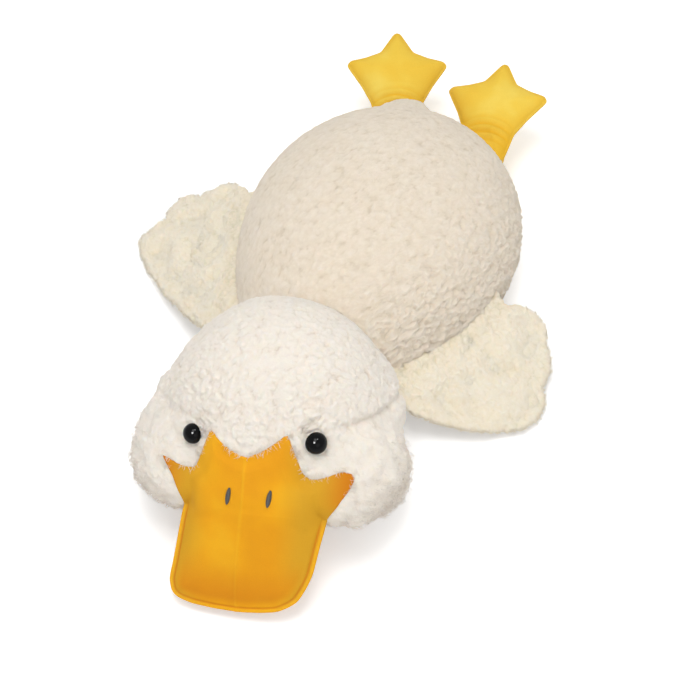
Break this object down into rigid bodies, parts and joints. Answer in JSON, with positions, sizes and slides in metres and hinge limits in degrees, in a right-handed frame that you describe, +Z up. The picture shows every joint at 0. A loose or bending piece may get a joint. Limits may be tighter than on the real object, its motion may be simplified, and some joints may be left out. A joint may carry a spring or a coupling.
{
  "type": "plush duck",
  "caption": "Stuffed plush duck lying on its belly, with a head that turns and nods, flat wings that flap and star shaped feet that swing.",
  "frame": {"origin": "on the flat rest face of the belly, on the body's centre line", "axes": "+Y from beak to tail, +Z up, so the duck faces -Y and its left is +X"},
  "size_m": [0.4589, 0.6964, 0.1882],
  "materials": {
    "body_fleece": "cream curly fleece",
    "head_fleece": "white curly fleece",
    "wing_fleece": "short cream fleece",
    "bill_cloth": "short orange velour",
    "foot_cloth": "short yellow velour",
    "filling": "fibre filling",
    "stitching": "satin stitch",
    "eye": "glossy black",
    "washer": "matte"
  },
  "bodies": {
    "body": {"back_panel": "body_fleece", "belly_panel": "body_fleece", "breast_panel": "body_fleece", "body_filling": "filling"},
    "neck": {"neck_band": "body_fleece"},
    "head": {"head_crown_panel": "head_fleece", "head_face_panel": "head_fleece", "head_filling": "filling", "bill_top_left": "bill_cloth", "bill_top_right": "bill_cloth", "bill_under_panel": "bill_cloth", "bill_filling": "filling", "nostril_left": "stitching", "nostril_right": "stitching", "eye_left": "eye", "eye_right": "eye", "eye_washer_left": "washer", "eye_washer_right": "washer"},
    "wing_left": {"wing_left_upper_panel": "wing_fleece", "wing_left_lower_panel": "wing_fleece"},
    "wing_right": {"wing_right_upper_panel": "wing_fleece", "wing_right_lower_panel": "wing_fleece"},
    "leg_left": {"foot_left_top_panel": "foot_cloth", "foot_left_sole_panel": "foot_cloth", "foot_left_filling": "filling"},
    "leg_right": {"foot_right_top_panel": "foot_cloth", "foot_right_sole_panel": "foot_cloth", "foot_right_filling": "filling"}
  },
  "joints": [
    {"name": "head_turn", "type": "hinge", "parent": "body", "child": "neck", "pos_m": [0.0123, -0.159, 0.08], "axis": [0, 0, 1], "range_deg": [-36.5, 7.5]},
    {"name": "head_nod", "type": "hinge", "parent": "neck", "child": "head", "pos_m": [0.0123, -0.159, 0.08], "axis": [-0.9681, -0.2504, 0], "range_deg": [-20, 30]},
    {"name": "wing_left_flap", "type": "hinge", "parent": "body", "child": "wing_left", "pos_m": [0.12225, 0.00817, 0.055], "axis": [-0.3801, -0.9249, 0], "range_deg": [-45, 100]},
    {"name": "wing_right_flap", "type": "hinge", "parent": "body", "child": "wing_right", "pos_m": [-0.12978, 0.0285, 0.055], "axis": [-0.3122, 0.95, 0], "range_deg": [-45, 100]},
    {"name": "leg_left_swing", "type": "hinge", "parent": "body", "child": "leg_left", "pos_m": [0.04897, 0.24711, 0.055], "axis": [0.9213, -0.3889, 0], "range_deg": [-50, 40]},
    {"name": "leg_right_swing", "type": "hinge", "parent": "body", "child": "leg_right", "pos_m": [-0.04897, 0.24711, 0.055], "axis": [0.9213, 0.3889, 0], "range_deg": [-50, 25]}
  ]
}
